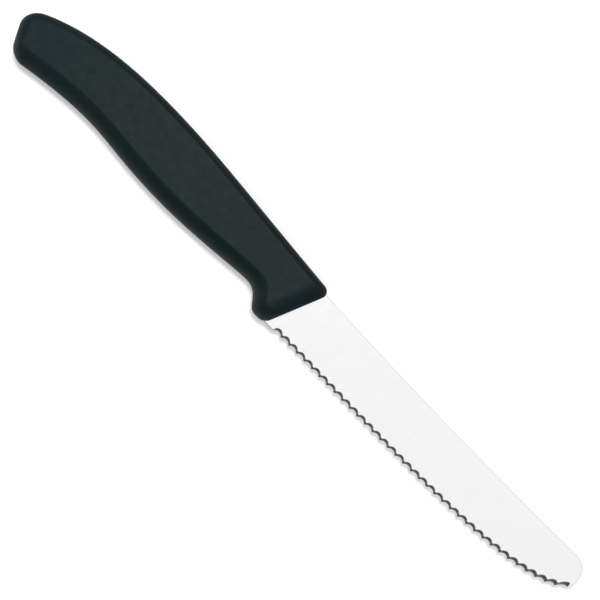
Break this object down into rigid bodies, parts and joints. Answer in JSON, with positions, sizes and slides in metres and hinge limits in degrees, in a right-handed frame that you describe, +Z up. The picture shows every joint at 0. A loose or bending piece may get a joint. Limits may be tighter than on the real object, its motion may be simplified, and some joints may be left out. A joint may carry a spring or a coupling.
{
  "type": "serrated table knife",
  "caption": "Table knife with a round-tipped steel blade, a scalloped edge ground from one side, and a black moulded handle with a finger guard.",
  "frame": {"origin": "middle of the knife's length and width, on the surface it lies on", "axes": "+X along the knife to the blade's tip, +Y from the edge to the spine, +Z up out of the blade's right side, which is the side the scallops are ground from"},
  "size_m": [0.2192, 0.0236, 0.01],
  "materials": {
    "blade_steel": "finely ground and polished stainless steel, with darker ground facets along the edge",
    "handle_plastic": "black moulded plastic with a fine matt mould texture"
  },
  "bodies": {
    "root": {"blade": "blade_steel", "handle": "handle_plastic"}
  },
  "joints": []
}
